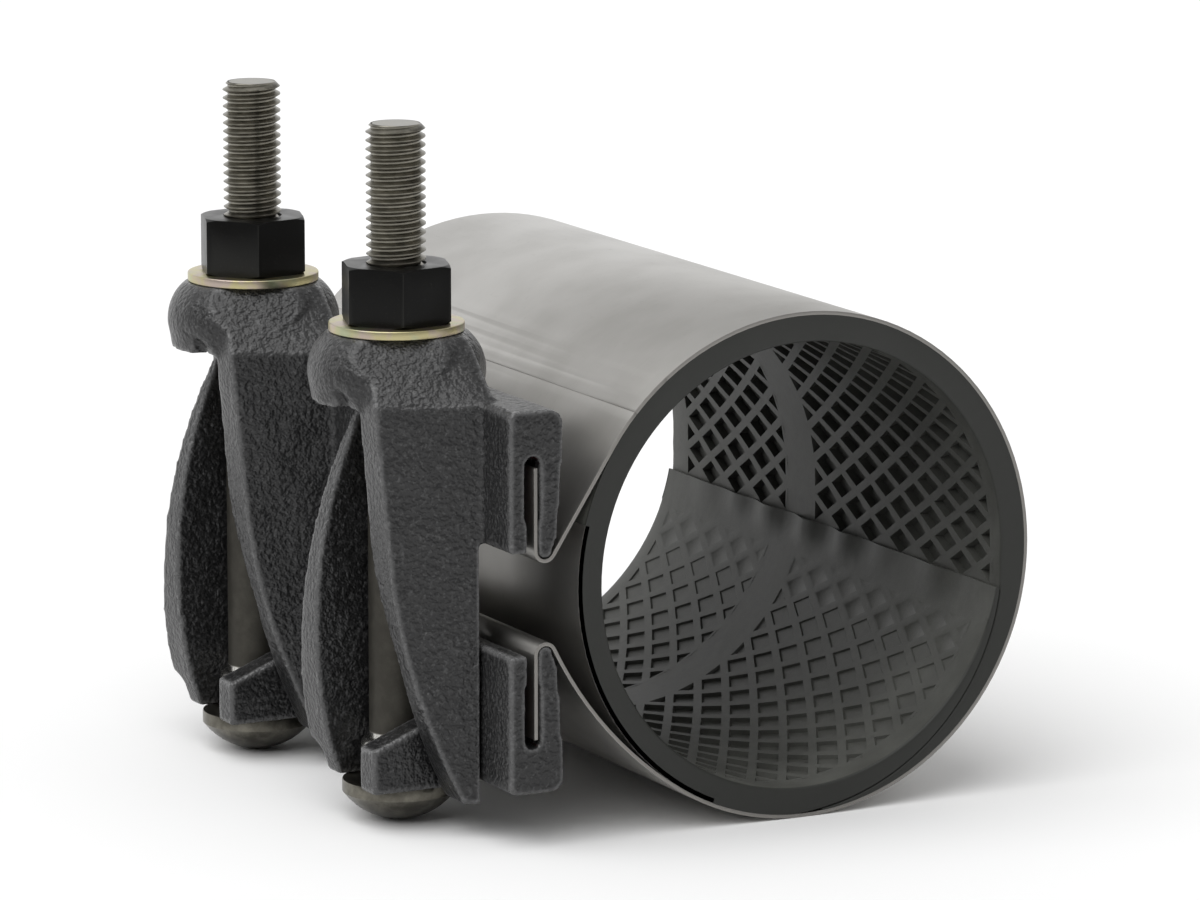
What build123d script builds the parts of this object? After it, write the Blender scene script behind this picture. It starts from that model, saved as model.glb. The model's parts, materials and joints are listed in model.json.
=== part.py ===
from build123d import *
from math import acos, asin, atan2, cos, degrees, hypot, pi, radians, sin
import os

# Full-circle pipe repair clamp: a one-piece stainless band with a waffle rubber
# gasket, drawn together by two bolts through two cast lugs.
# Millimetres. The origin is the middle of the bore, +Y runs along the pipe,
# +Z is up, and the lugs and bolts stand on the -X side.

# ------------------------------------------------------------- driving sizes
clamp_length = 190.5
bore_radius = 60.2
gasket_thickness = 7.2
band_thickness = 1.0

bolt_spacing = 92.0
bolt_offset = 96.0              # bolt axes from the pipe axis
bolt_radius = 7.94              # 5/8-11 UNC
bolt_top = 118.5
bolt_end_chamfer = 1.2

joint_height = -2.5             # middle of the gap between the two lugs
lug_gap = 23.4                  # from lip to lip
bar_height = 39.3
bar_outer = 87.0                # outer face of the lug bars from the pipe axis
bar_inner = 71.0                # inner face, at the back of the bar
bar_inner_draft = 2.3
bar_corner_radius = 4.5
lip_thickness = 4.3
lip_root = 6.0                  # the bar's draft starts this far from the lip's edge
lip_outer = 79.0                # the face of the lip that the band's leg lies on
lip_overhang = 2.0              # how far the lip reaches past the bar's outer tip
throat_width = 2.9
throat_depth = 10.8
pocket_width = 4.2
pocket_end = 27.2
fold_clearance = 0.15

seat_height = 63.6              # washer seat on the upper lug
seat_radius = 18.3
hood_radius = 23.6
hood_bulge_radius = 22.6
hood_bulge_height = 58.2
hood_waist = 52.0               # height of the hood's widest ring
hood_lip = 45.5
hood_lip_tuck = 1.1
hood_wall = 6.2
hood_roof = 9.0
arch_top = 50.8
arch_start = 7.5                # the arch is open from here to the front of the bolt
arch_crown_reach = 4.6          # from the leg's edge to the crown
arch_bend_reach = 1.6
arch_bend_height = 47.3
arch_foot_height = 42.5         # where the arch runs out on the leg's edge
crease_height = 47.5
hood_shoulder = 15.5
hood_shoulder_flare = 1.0
shoulder_setback = 3.0
shoulder_drop = 0.6             # the shoulders end this far under the seat
flank_front = 22.2              # lug body from the bolt axis, at its outer end
flank_rear = 19.5
flank_flare = 10.8              # how much wider the body is where it meets the bar
leg_reach_top = 113.0
leg_reach_middle = 109.4
leg_reach_foot = 91.5
leg_bend_height = 6.0
leg_foot_height = -59.0
leg_inner_root = 12.0           # the front leg's inner face from the bolt axis
leg_inner_foot = 18.3
leg_step_height = -21.0         # below this the inner face is stepped back fully
bolt_hole_clearance = 1.6
channel_rear = 15.2             # room beside the bolt for the lower lug's fin

fork_half_width = 9.0
prong_thickness = 8.6
prong_reach = 111.8
prong_height = 11.8
prong_rise = 11.5
fork_foot = -57.3
fin_top = 43.0
fin_top_reach = 101.5
fin_middle_reach = 114.8
fin_foot_reach = 112.3
fin_full_height = -40.5         # the fin has its full thickness from here to the step
fin_step = -48.5
fin_step_height = 3.0
fin_toe_reach = 109.3
fin_top_thickness = 3.2
fin_foot_thickness = 12.5
fin_toe_thickness = 7.0
lug_clearance = 0.8             # between the two lugs as they slide past each other

head_radius = 15.2
head_rim = 3.4
neck_length = 20.4
neck_width = 17.4
neck_height = 11.3
neck_clearance = 0.5

washer_radius = 18.0
washer_thickness = 2.4
washer_clearance = 0.7
nut_across_flats = 27.0
nut_height = 15.5
nut_chamfer = 1.4
nut_turn_angle = 12.0           # how the nuts stand, from their flats square to the bar
thread_clearance = 0.06

bridge_thickness = 1.3
bridge_start_angle = 165.5      # degrees round the pipe axis from +X
bridge_end_angle = 246.0
bridge_clearance = 0.2
band_leave_angle = 237.0        # the lower run lifts off the gasket here
band_leg_upper = 22.0           # straight part of each folded end
band_leg_lower = 22.5

flap_angle = -11.0              # the gasket's inner lap ends here
tail_angle = -85.0              # the gasket's outer lap ends here
lap_edge = 0.8                  # thickness left at the edge of each lap
lap_gap = 0.3

pockets_around = 18
pocket_rib = 4.6
pocket_depth = 2.0
plain_rim = 13.0
centre_rib = 10.0

cut_margin = 1.0                # how far a cut reaches past the faces it opens

# ----------------------------------------------------------- derived sizes
gasket_radius = bore_radius + gasket_thickness
band_radius = gasket_radius + band_thickness / 2
ring_outer_radius = gasket_radius + band_thickness
upper_lip = joint_height + lug_gap / 2
lower_lip = joint_height - lug_gap / 2
nut_seat = seat_height + washer_thickness
bolt_places = [(-bolt_offset, -bolt_spacing / 2, 0), (-bolt_offset, bolt_spacing / 2, 0)]
bolt_names = ["front", "rear"]


def polar(radius, angle, centre=(0.0, 0.0)):
    """Point of the X-Z plane at this radius and angle, in degrees, round a centre."""
    return (
        centre[0] + radius * cos(radians(angle)),
        centre[1] + radius * sin(radians(angle)),
    )


# ------------------------------------------------------------------ band
# One strip: leg, fold round the upper lug's lip, upper run, ring, lower run, fold
# round the lower lug's lip, leg.
fold_radius = lip_thickness / 2 + fold_clearance + band_thickness / 2
fold_x = -(lip_outer - lip_thickness / 2)
upper_fold = (fold_x, upper_lip + lip_thickness / 2)
lower_fold = (fold_x, lower_lip - lip_thickness / 2)

# the upper run is the straight inner tangent of the ring and the fold
upper_bearing = degrees(atan2(upper_fold[1], upper_fold[0]))
upper_tangent = upper_bearing - degrees(acos((band_radius + fold_radius) / hypot(*upper_fold)))

# the lower run is one easy arc, tangent to the ring and to the fold
leave_point = polar(band_radius, band_leave_angle)
fold_reach = (leave_point[0] * lower_fold[0] + leave_point[1] * lower_fold[1]) / band_radius
fold_distance = hypot(*lower_fold)
lower_run_radius = (
    fold_distance**2 - 2 * band_radius * fold_reach + band_radius**2 - fold_radius**2
) / (2 * (band_radius + fold_radius - fold_reach))
lower_run_centre = polar(lower_run_radius - band_radius, band_leave_angle - 180)
lower_tangent = (
    degrees(atan2(lower_fold[1] - lower_run_centre[1], lower_fold[0] - lower_run_centre[0])) % 360
)

with BuildPart() as band:
    with BuildSketch(Plane.XZ):
        with BuildLine():
            Line(
                (fold_x - fold_radius, upper_fold[1] + band_leg_upper),
                (fold_x - fold_radius, upper_fold[1]),
            )
            CenterArc(upper_fold, fold_radius, 180, upper_tangent)
            Line(polar(fold_radius, upper_tangent + 180, upper_fold), polar(band_radius, upper_tangent))
            CenterArc((0, 0), band_radius, upper_tangent, band_leave_angle - 360 - upper_tangent)
            CenterArc(
                lower_run_centre, lower_run_radius, band_leave_angle, lower_tangent - band_leave_angle
            )
            CenterArc(lower_fold, fold_radius, lower_tangent + 180, 360 - lower_tangent)
            Line(
                (fold_x - fold_radius, lower_fold[1]),
                (fold_x - fold_radius, lower_fold[1] - band_leg_lower),
            )
        trace(line_width=band_thickness)
    extrude(amount=clamp_length / 2, both=True)
band.part.label = "band"

# ---------------------------------------------------------------- gasket
# A rubber strip rolled into a full circle. Its ends are tapered laps, so the
# cut between them is a spiral through the thickness.
pocket_pitch = 2 * pi * bore_radius / pockets_around
pocket_side = pocket_pitch / 2**0.5 - pocket_rib
waffle_width = (clamp_length - centre_rib) / 2 - plain_rim
pocket_rows = int(waffle_width / (pocket_pitch / 2)) - 1


def pocket_places():
    """Planes of the diamond pockets, in staggered rows either side of the centre rib."""
    places = []
    for side in (1, -1):
        middle = side * (centre_rib + waffle_width) / 2
        for row in range(pocket_rows):
            along = middle + (row - (pocket_rows - 1) / 2) * pocket_pitch / 2
            for step in range(pockets_around):
                angle = 360 / pockets_around * (step + row % 2 / 2)
                outward = (cos(radians(angle)), 0, sin(radians(angle)))
                foot = Vector(outward) * (bore_radius + pocket_depth) + Vector(0, along, 0)
                places.append(Location(Plane(foot, x_dir=(0, 1, 0), z_dir=outward)))
    return places


def lap_point(share, offset):
    """Point of the spiral cut, from the flap's edge (0) to the tail's edge (1)."""
    radius = bore_radius + lap_edge + share * (gasket_thickness - 2 * lap_edge)
    return polar(radius + offset, flap_angle + share * (tail_angle - flap_angle))


with BuildPart() as gasket:
    with BuildSketch(Plane.XZ):
        Circle(gasket_radius)
        Circle(bore_radius, mode=Mode.SUBTRACT)
        # the spiral cut between the two laps
        with BuildLine():
            lap_over = Spline(*[lap_point(step / 6, lap_gap / 2) for step in range(7)])
            lap_under = Spline(*[lap_point(step / 6, -lap_gap / 2) for step in range(7)])
            Line(lap_over @ 0, lap_under @ 0)
            Line(lap_over @ 1, lap_under @ 1)
        make_face(mode=Mode.SUBTRACT)
        # the blunt edges of the flap and of the tail
        with PolarLocations(bore_radius + lap_edge / 2, 1, flap_angle):
            Rectangle(lap_edge + lap_gap, lap_gap, mode=Mode.SUBTRACT)
        with PolarLocations(gasket_radius - lap_edge / 2, 1, tail_angle):
            Rectangle(lap_edge + lap_gap, lap_gap, mode=Mode.SUBTRACT)
        # the recess for the bridge plate, which lies flush with the outer face
        recess_margin = degrees(bridge_clearance / gasket_radius)
        recess_start = bridge_start_angle - recess_margin
        recess_sweep = bridge_end_angle - bridge_start_angle + 2 * recess_margin
        with BuildLine():
            recess_floor = CenterArc((0, 0), gasket_radius - bridge_thickness, recess_start, recess_sweep)
            recess_rim = CenterArc((0, 0), ring_outer_radius, recess_start, recess_sweep)
            Line(recess_floor @ 0, recess_rim @ 0)
            Line(recess_floor @ 1, recess_rim @ 1)
        make_face(mode=Mode.SUBTRACT)
    extrude(amount=clamp_length / 2, both=True)
    with Locations(*pocket_places()):
        Box(
            pocket_side,
            pocket_side,
            bore_radius / 2,
            rotation=(0, 0, 45),
            align=(Align.CENTER, Align.CENTER, Align.MAX),
            mode=Mode.SUBTRACT,
        )
gasket.part.label = "gasket"

# ----------------------------------------------------------- bridge plate
# A curved stainless plate that carries the gasket across the gap in the band.
with BuildPart() as bridge_plate:
    with BuildSketch(Plane.XZ):
        bridge_sweep = bridge_end_angle - bridge_start_angle
        with BuildLine():
            bridge_inside = CenterArc(
                (0, 0), gasket_radius - bridge_thickness, bridge_start_angle, bridge_sweep
            )
            bridge_outside = CenterArc((0, 0), gasket_radius, bridge_start_angle, bridge_sweep)
            Line(bridge_inside @ 0, bridge_outside @ 0)
            Line(bridge_inside @ 1, bridge_outside @ 1)
        make_face()
    extrude(amount=clamp_length / 2, both=True)
bridge_plate.part.label = "bridge_plate"


# --------------------------------------------------------------- lug bars
def make_lug_bar(lip, rise):
    """The bar of a lug: a lip for the band's fold and an open pocket for its leg.

    The lip's edge is at height lip, and the bar stands up (rise 1) or hangs down
    (rise -1) from it.
    """

    def at(reach, height):
        return (-reach, lip + rise * height)

    lip_inner = lip_outer - lip_thickness
    pocket_axis = lip_outer + throat_width / 2
    pocket_length = pocket_end - throat_depth + pocket_width / 2
    with BuildPart() as bar:
        with BuildSketch(Plane.XZ) as section:
            with BuildLine():
                Polyline(
                    at(lip_inner, lip_thickness / 2),
                    at(bar_inner + bar_inner_draft, lip_root),
                    at(bar_inner, bar_height),
                    at(bar_outer, bar_height),
                    at(bar_outer, lip_overhang),
                    at(lip_outer + throat_width, lip_overhang),
                    at(lip_outer + throat_width, throat_depth),
                    at(lip_outer, throat_depth),
                    at(lip_outer, lip_thickness / 2),
                )
                ThreePointArc(
                    at(lip_outer, lip_thickness / 2),
                    at(lip_outer - lip_thickness / 2, 0),
                    at(lip_inner, lip_thickness / 2),
                )
            make_face()
            inner_corner = section.vertices().sort_by_distance(at(bar_inner, bar_height))[0]
            fillet(inner_corner, bar_corner_radius)
            outer_corner = section.vertices().sort_by_distance(at(bar_outer, bar_height))[0]
            fillet(outer_corner, bar_corner_radius / 2)
            with Locations(at(pocket_axis, pocket_end - pocket_length / 2)):
                SlotOverall(pocket_length, pocket_width, rotation=90, mode=Mode.SUBTRACT)
        extrude(amount=clamp_length / 2, both=True)
    return bar.part


# --------------------------------------------------------------- upper lug
# A station is the part of a lug about one bolt, modelled about the bolt's axis.
# The upper one is a hood under the washer, open below and to the outside, and a
# long front leg that slides past the lower lug.
bar_end = bolt_offset - bar_outer
body_end = bar_end - lug_clearance
bar_root = bar_end + bar_corner_radius    # a station is sunk into the bar to here
leg_tip = bolt_offset - leg_reach_top

with BuildPart() as leg:
    with BuildSketch(Plane.XZ):
        with BuildLine():
            leg_bend = (bolt_offset - leg_reach_middle, leg_bend_height)
            leg_toe = (bolt_offset - leg_reach_foot, leg_foot_height)
            leg_edge = Line((leg_tip, crease_height), leg_bend)
            leg_curve = TangentArc(leg_bend, leg_toe, tangent=leg_edge % 1)
            Polyline(
                leg_toe,
                (body_end, leg_foot_height),
                (body_end, upper_lip + lip_overhang),
                (bar_root, upper_lip + lip_overhang),
                (bar_root, crease_height),
                (leg_tip, crease_height),
            )
        make_face()
    extrude(amount=flank_front + flank_flare)
    # the inner face steps back below the root to clear the lower lug's prong
    with BuildSketch(Plane.YZ.offset(leg_tip)):
        with BuildLine():
            Polyline(
                (cut_margin, crease_height + cut_margin),
                (-leg_inner_root, crease_height + cut_margin),
                (-leg_inner_root, leg_bend_height),
                (-leg_inner_foot, leg_step_height),
                (-leg_inner_foot, leg_foot_height - cut_margin),
                (cut_margin, leg_foot_height - cut_margin),
                close=True,
            )
        make_face()
    extrude(amount=bar_root - leg_tip, mode=Mode.SUBTRACT)
    # the outer face is flared from the leg's edge to the bar
    with BuildSketch(Plane.XY.offset(leg_foot_height)):
        with BuildLine():
            Polyline(
                (leg_tip, 0),
                (leg_tip, -flank_front),
                (bar_end, -flank_front - flank_flare),
                (bar_root, -flank_front - flank_flare),
                (bar_root, 0),
                close=True,
            )
        make_face()
    extrude(amount=crease_height - leg_foot_height, mode=Mode.INTERSECT)

with BuildPart() as upper_station:
    # the hood: a dome that flares out from under the washer
    with BuildSketch(Plane.XZ):
        with BuildLine():
            Polyline((hood_radius - hood_lip_tuck, hood_lip), (0, hood_lip), (0, seat_height))
            Line((0, seat_height), (seat_radius, seat_height))
            ThreePointArc(
                (seat_radius, seat_height),
                (hood_bulge_radius, hood_bulge_height),
                (hood_radius, hood_waist),
            )
            Line((hood_radius, hood_waist), (hood_radius - hood_lip_tuck, hood_lip))
        make_face()
    revolve(axis=Axis.Z)
    # the shoulders, which widen from the seat to the crease and to the bar
    with BuildSketch(Plane.XY.offset(crease_height)):
        with BuildLine():
            Polyline(
                (leg_tip, -flank_front),
                (bar_end, -flank_front - flank_flare),
                (bar_root, -flank_front - flank_flare),
                (bar_root, flank_rear + flank_flare),
                (bar_end, flank_rear + flank_flare),
                (leg_tip, flank_rear),
                close=True,
            )
        make_face()
    with BuildSketch(Plane.XY.offset(seat_height - shoulder_drop)):
        with BuildLine():
            Polyline(
                (leg_tip + shoulder_setback, -hood_shoulder),
                (bar_end, -hood_shoulder - hood_shoulder_flare),
                (bar_root, -hood_shoulder - hood_shoulder_flare),
                (bar_root, hood_shoulder + hood_shoulder_flare),
                (bar_end, hood_shoulder + hood_shoulder_flare),
                (leg_tip + shoulder_setback, hood_shoulder),
                close=True,
            )
        make_face()
    loft(ruled=True)
    # the channel that the bolt and the lower lug's fin stand in
    channel_length = bar_end + hood_radius - hood_wall
    channel_width = leg_inner_root + channel_rear
    channel_height = seat_height - hood_roof - hood_lip
    with Locations((bar_end, (channel_rear - leg_inner_root) / 2, hood_lip)):
        Box(
            channel_length,
            channel_width,
            channel_height * 2,
            align=(Align.MAX, Align.CENTER, Align.CENTER),
            mode=Mode.SUBTRACT,
        )
    # the arch between the hood's lip and the front leg
    with BuildSketch(Plane.XZ.offset(arch_start)):
        with BuildLine():
            arch_foot = (leg_tip, arch_foot_height)
            arch_crown = (leg_tip - arch_crown_reach, arch_top)
            arch_bend = (leg_tip - arch_bend_reach, arch_bend_height)
            Polyline(
                arch_foot,
                (leg_tip, arch_foot_height - cut_margin),
                (-hood_radius - cut_margin, arch_foot_height - cut_margin),
                (-hood_radius - cut_margin, arch_top),
                arch_crown,
            )
            ThreePointArc(arch_crown, arch_bend, arch_foot)
        make_face()
    extrude(amount=hood_radius, mode=Mode.SUBTRACT)
    add(leg.part)
    Hole(bolt_radius + bolt_hole_clearance)

with BuildPart() as upper_lug:
    add(make_lug_bar(upper_lip, 1))
    with Locations(*bolt_places):
        add(upper_station.part)
upper_lug.part.label = "upper_lug"

# --------------------------------------------------------------- lower lug
# The lower station is a fork that is open to the outside: a short prong in front
# of the bolt and a tall fin behind it, which rises into the hood.
with BuildPart() as fin:
    with BuildSketch(Plane.XZ):
        with BuildLine():
            fin_tip = (bolt_offset - fin_top_reach, fin_top)
            fin_heel = (bolt_offset - fin_foot_reach, fin_step)
            fin_toe = (bolt_offset - fin_toe_reach, fork_foot)
            ThreePointArc(fin_tip, (bolt_offset - fin_middle_reach, 0), fin_heel)
            Polyline(
                fin_heel,
                fin_toe,
                (bar_end, fork_foot),
                (bar_root, lower_lip - bar_height),
                (bar_root, lower_lip - lip_overhang),
                (body_end, lower_lip - lip_overhang),
                (body_end, fin_top),
                fin_tip,
            )
        make_face()
    extrude(amount=-(flank_rear + flank_flare + fin_foot_thickness))
    # its section thickens downward and steps in to a toe over the bolt's head
    with BuildSketch(Plane.YZ.offset(-bar_end - hood_radius)):
        with BuildLine():
            Polyline(
                (fork_half_width, fin_top),
                (fork_half_width + fin_top_thickness, fin_top),
                (fork_half_width + fin_foot_thickness, fin_full_height),
                (fork_half_width + fin_foot_thickness, fin_step),
                (fork_half_width + fin_toe_thickness, fin_step - fin_step_height),
                (fork_half_width + fin_toe_thickness, fork_foot),
                (fork_half_width, fork_foot),
                close=True,
            )
        make_face()
    extrude(amount=2 * (bar_end + hood_radius), mode=Mode.INTERSECT)

with BuildPart() as lower_station:
    add(fin.part)
    # the prong, whose back rises to the bar
    with BuildSketch(Plane.XZ.offset(fork_half_width)):
        with BuildLine():
            Polyline(
                (bolt_offset - prong_reach, fork_foot),
                (bolt_offset - prong_reach, fork_foot + prong_height),
                (bar_root, fork_foot + prong_height + prong_rise),
                (bar_root, lower_lip - bar_height),
                (bar_end, fork_foot),
                close=True,
            )
        make_face()
    extrude(amount=prong_thickness)

with BuildPart() as lower_lug:
    add(make_lug_bar(lower_lip, -1))
    with Locations(*bolt_places):
        add(lower_station.part)
    # the round seats in the bar for the bolts' oval necks
    with BuildSketch(Plane.XY.offset(fork_foot)):
        with Locations(*bolt_places):
            SlotOverall(neck_length + 2 * neck_clearance, 2 * fork_half_width)
    extrude(amount=neck_height + neck_clearance, mode=Mode.SUBTRACT)
lower_lug.part.label = "lower_lug"

# ------------------------------------------------------------------- bolts
# Track bolts: a domed head, an oval neck that the fork keeps from turning, and a
# long shank. The heads hang level with the underside of the ring.
dome_height = ring_outer_radius + fork_foot - head_rim
dome_radius = (head_radius**2 + dome_height**2) / (2 * dome_height)
dome_sweep = degrees(asin(head_radius / dome_radius))

with BuildPart() as bolt:
    with BuildSketch(Plane.XZ):
        with BuildLine():
            CenterArc((0, dome_radius - ring_outer_radius), dome_radius, -90, dome_sweep)
            Polyline(
                (head_radius, fork_foot - head_rim),
                (head_radius, fork_foot),
                (0, fork_foot),
                (0, -ring_outer_radius),
            )
        make_face()
    revolve(axis=Axis.Z)
    with BuildSketch(Plane.XY.offset(fork_foot)):
        SlotOverall(neck_length, neck_width)
    extrude(amount=neck_height)
    with BuildSketch(Plane.XY.offset(fork_foot)):
        Circle(bolt_radius)
    extrude(amount=bolt_top - fork_foot)
    chamfer(bolt.edges().filter_by(GeomType.CIRCLE).sort_by(Axis.Z)[-1], bolt_end_chamfer)

with BuildPart() as washer:
    with BuildSketch(Plane.XY.offset(seat_height)):
        Circle(washer_radius)
        Circle(bolt_radius + washer_clearance, mode=Mode.SUBTRACT)
    extrude(amount=washer_thickness)

with BuildPart() as nut:
    with BuildSketch(Plane.XY.offset(nut_seat)):
        RegularPolygon(nut_across_flats / 2, 6, major_radius=False, rotation=nut_turn_angle)
    extrude(amount=nut_height)
    # the turned chamfers at the hexagon's corners
    with BuildSketch(Plane.XZ):
        corner_radius = nut_across_flats / 3**0.5
        with BuildLine():
            Polyline(
                (0, nut_seat),
                (corner_radius - nut_chamfer, nut_seat),
                (corner_radius, nut_seat + nut_chamfer / 2),
                (corner_radius, nut_seat + nut_height - nut_chamfer / 2),
                (corner_radius - nut_chamfer, nut_seat + nut_height),
                (0, nut_seat + nut_height),
                close=True,
            )
        make_face()
    revolve(axis=Axis.Z, mode=Mode.INTERSECT)
    with Locations((0, 0, nut_seat + nut_height)):
        Hole(bolt_radius + thread_clearance)

# ------------------------------------------------------------------ export
os.makedirs("parts", exist_ok=True)
for piece in (band, gasket, bridge_plate, upper_lug, lower_lug):
    export_step(piece.part, f"parts/{piece.part.label}.step")
for bolt_name, place in zip(bolt_names, bolt_places):
    for kind, source in (("bolt", bolt), ("nut", nut), ("washer", washer)):
        with BuildPart() as placed:
            with Locations(place):
                add(source.part)
        placed.part.label = f"{kind}_{bolt_name}"
        export_step(placed.part, f"parts/{placed.part.label}.step")
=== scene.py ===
"""Dresses a full-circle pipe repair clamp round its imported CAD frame."""

import json
import logging
from collections.abc import Callable, Iterator
from contextlib import contextmanager
from dataclasses import dataclass, field
from enum import Enum
from math import atan2, cos, degrees, pi, radians, sin

import bmesh
import bpy
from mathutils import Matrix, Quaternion, Vector

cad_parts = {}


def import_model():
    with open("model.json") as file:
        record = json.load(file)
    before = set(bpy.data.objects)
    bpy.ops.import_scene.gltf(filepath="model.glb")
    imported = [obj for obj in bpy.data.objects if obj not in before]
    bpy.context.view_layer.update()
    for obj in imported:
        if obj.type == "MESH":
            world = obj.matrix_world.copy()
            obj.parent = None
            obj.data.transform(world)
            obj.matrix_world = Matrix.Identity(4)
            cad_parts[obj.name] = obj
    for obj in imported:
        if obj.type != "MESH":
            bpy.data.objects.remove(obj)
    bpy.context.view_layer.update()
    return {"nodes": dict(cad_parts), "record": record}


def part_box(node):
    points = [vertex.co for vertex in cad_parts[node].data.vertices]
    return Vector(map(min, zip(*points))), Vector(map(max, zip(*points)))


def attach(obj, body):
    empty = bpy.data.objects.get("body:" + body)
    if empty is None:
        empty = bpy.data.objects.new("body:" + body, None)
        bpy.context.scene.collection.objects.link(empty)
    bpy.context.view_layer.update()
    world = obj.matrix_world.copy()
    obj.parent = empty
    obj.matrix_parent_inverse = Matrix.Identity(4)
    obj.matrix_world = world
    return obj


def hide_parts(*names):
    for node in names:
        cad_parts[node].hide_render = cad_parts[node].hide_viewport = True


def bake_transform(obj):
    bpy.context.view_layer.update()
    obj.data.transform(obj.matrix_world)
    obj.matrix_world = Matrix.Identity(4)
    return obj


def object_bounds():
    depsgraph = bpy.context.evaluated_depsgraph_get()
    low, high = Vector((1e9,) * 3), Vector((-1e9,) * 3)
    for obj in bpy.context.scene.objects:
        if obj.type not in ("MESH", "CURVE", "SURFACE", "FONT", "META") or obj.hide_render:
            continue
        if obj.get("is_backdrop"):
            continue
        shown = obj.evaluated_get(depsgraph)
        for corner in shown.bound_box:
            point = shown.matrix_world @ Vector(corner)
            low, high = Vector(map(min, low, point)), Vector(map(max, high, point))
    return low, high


LOG = logging.getLogger("repair_clamp")
MM = 0.001
DOUBLES = 0.002 * MM  # vertices nearer than this are one
SQUARE_ON = 0.9  # a normal's part along an axis, from which a face looks that way

Colour = tuple[float, float, float]
Place = tuple[float, float, float]
Span = tuple[float, float]
Piece = bpy.types.Object
Nodes = dict[str, Piece]
Face = bmesh.types.BMFace
Edge = bmesh.types.BMEdge
Material = bpy.types.Material


# --------------------------------------------------------------- shader wiring
class Wire:
    """A shader socket that takes part in arithmetic."""

    def __init__(self, bench: "Bench", socket: bpy.types.NodeSocket) -> None:
        """Keeps the socket and the bench that it belongs to."""
        self.bench = bench
        self.socket = socket

    def math(self, operation: str, *others: "Wire | float", first: bool = True) -> "Wire":
        """Adds a Math node.

        Args:
            operation: the Math node's operation.
            others: the other operands.
            first: whether this wire is the first operand, or the second.

        Returns:
            The node's result.
        """
        operands = [self, *others] if first else [*others, self]
        settings = {"operation": operation}
        return self.bench.node("Math", settings, dict(enumerate(operands)))

    def __add__(self, other: "Wire | float") -> "Wire":
        """Adds."""
        return self.math("ADD", other)

    __radd__ = __add__

    def __mul__(self, other: "Wire | float") -> "Wire":
        """Multiplies."""
        return self.math("MULTIPLY", other)

    __rmul__ = __mul__

    def __sub__(self, other: "Wire | float") -> "Wire":
        """Subtracts the other from this."""
        return self.math("SUBTRACT", other)

    def __rsub__(self, other: "Wire | float") -> "Wire":
        """Subtracts this from the other."""
        return self.math("SUBTRACT", other, first=False)

    def step(self, low: float, high: float) -> "Wire":
        """Rises smoothly from 0 at low to 1 at high."""
        settings = {"interpolation_type": "SMOOTHSTEP"}
        sockets = {0: self, 1: low, 2: high, 3: 0.0, 4: 1.0}
        return self.bench.node("MapRange", settings, sockets)

    def window(self, low: float, high: float, soft: float) -> "Wire":
        """Is 1 between low and high, and fades to 0 over a soft margin outside."""
        return self.step(low - soft, low) * (1 - self.step(high, high + soft))


Value = Wire | float


class Bench:
    """The node tree of a material or a world, round its one shader."""

    def __init__(self, owner: Material | bpy.types.World) -> None:
        """Opens the node tree of a new material or world."""
        owner.use_nodes = True
        self.owner = owner
        self.tree = owner.node_tree
        shaders = ("BSDF_PRINCIPLED", "BACKGROUND")
        self.shader = next(node for node in self.tree.nodes if node.type in shaders)

    def node(
        self,
        kind: str,
        settings: dict[str, object] | None = None,
        sockets: dict[str | int, object] | None = None,
        out: str | int = 0,
    ) -> Wire:
        """Adds any node.

        Args:
            kind: the node's type, after "ShaderNode".
            settings: its settings, set first.
            sockets: the values or wires of its inputs, by name or number.
            out: which output is wanted.

        Returns:
            That output.
        """
        made = self.tree.nodes.new(f"ShaderNode{kind}")
        for key, value in (settings or {}).items():
            setattr(made, key, value)
        for key, value in (sockets or {}).items():
            self.plug(made.inputs[key], value)
        return Wire(self, made.outputs[out])

    def plug(self, socket: bpy.types.NodeSocket, value: object) -> None:
        """Links a wire to a socket, or sets its value."""
        if isinstance(value, Wire):
            self.tree.links.new(value.socket, socket)
        elif isinstance(value, tuple) and len(value) == 3 and socket.type == "RGBA":
            socket.default_value = (*value, 1.0)
        else:
            socket.default_value = value

    def set(self, **sockets: object) -> Material | bpy.types.World:
        """Sets the shader's sockets, with spaces for underscores.

        Args:
            sockets: values or wires, such as Base_Color.

        Returns:
            The material or the world.
        """
        for name, value in sockets.items():
            self.plug(self.shader.inputs[name.replace("_", " ")], value)
        return self.owner

    def place(self) -> Wire:
        """The point on the piece, in the row frame, in metres."""
        return self.node("TexCoord", out="Object")

    def axes(self, point: Wire) -> tuple[Wire, Wire, Wire]:
        """The three numbers of a vector."""
        split = self.node("SeparateXYZ", sockets={0: point})
        return tuple(Wire(self, output) for output in split.socket.node.outputs)

    def vector(self, x: Value, y: Value, z: Value) -> Wire:
        """A vector of three numbers."""
        return self.node("CombineXYZ", sockets={0: x, 1: y, 2: z})

    def noise(
        self, grain: float, detail: float = 2.0, rough: float = 0.5, at: Wire | None = None
    ) -> Wire:
        """Noise from 0 to 1 whose lumps are about a grain across, in metres."""
        sockets = {"Scale": 1 / grain, "Detail": detail, "Roughness": rough}
        sockets["Vector"] = at or self.place()
        return self.node("TexNoise", sockets=sockets)

    def pointiness(self) -> Wire:
        """How convex the surface is, from 0 in a root to 1 on a crest."""
        return self.node("NewGeometry", out="Pointiness")

    def mix(self, share: Value, low: Wire | Colour, high: Wire | Colour) -> Wire:
        """Mixes two colours."""
        return self.node("Mix", {"data_type": "RGBA"}, {0: share, 6: low, 7: high}, out=2)

    def bump(self, height: Wire, depth: float, under: Wire | None = None) -> Wire:
        """A normal for a height from 0 to 1 that stands for a depth in metres."""
        sockets = {"Height": height, "Distance": depth, "Strength": 1.0}
        if under:
            sockets["Normal"] = under
        return self.node("Bump", sockets=sockets)


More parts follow.
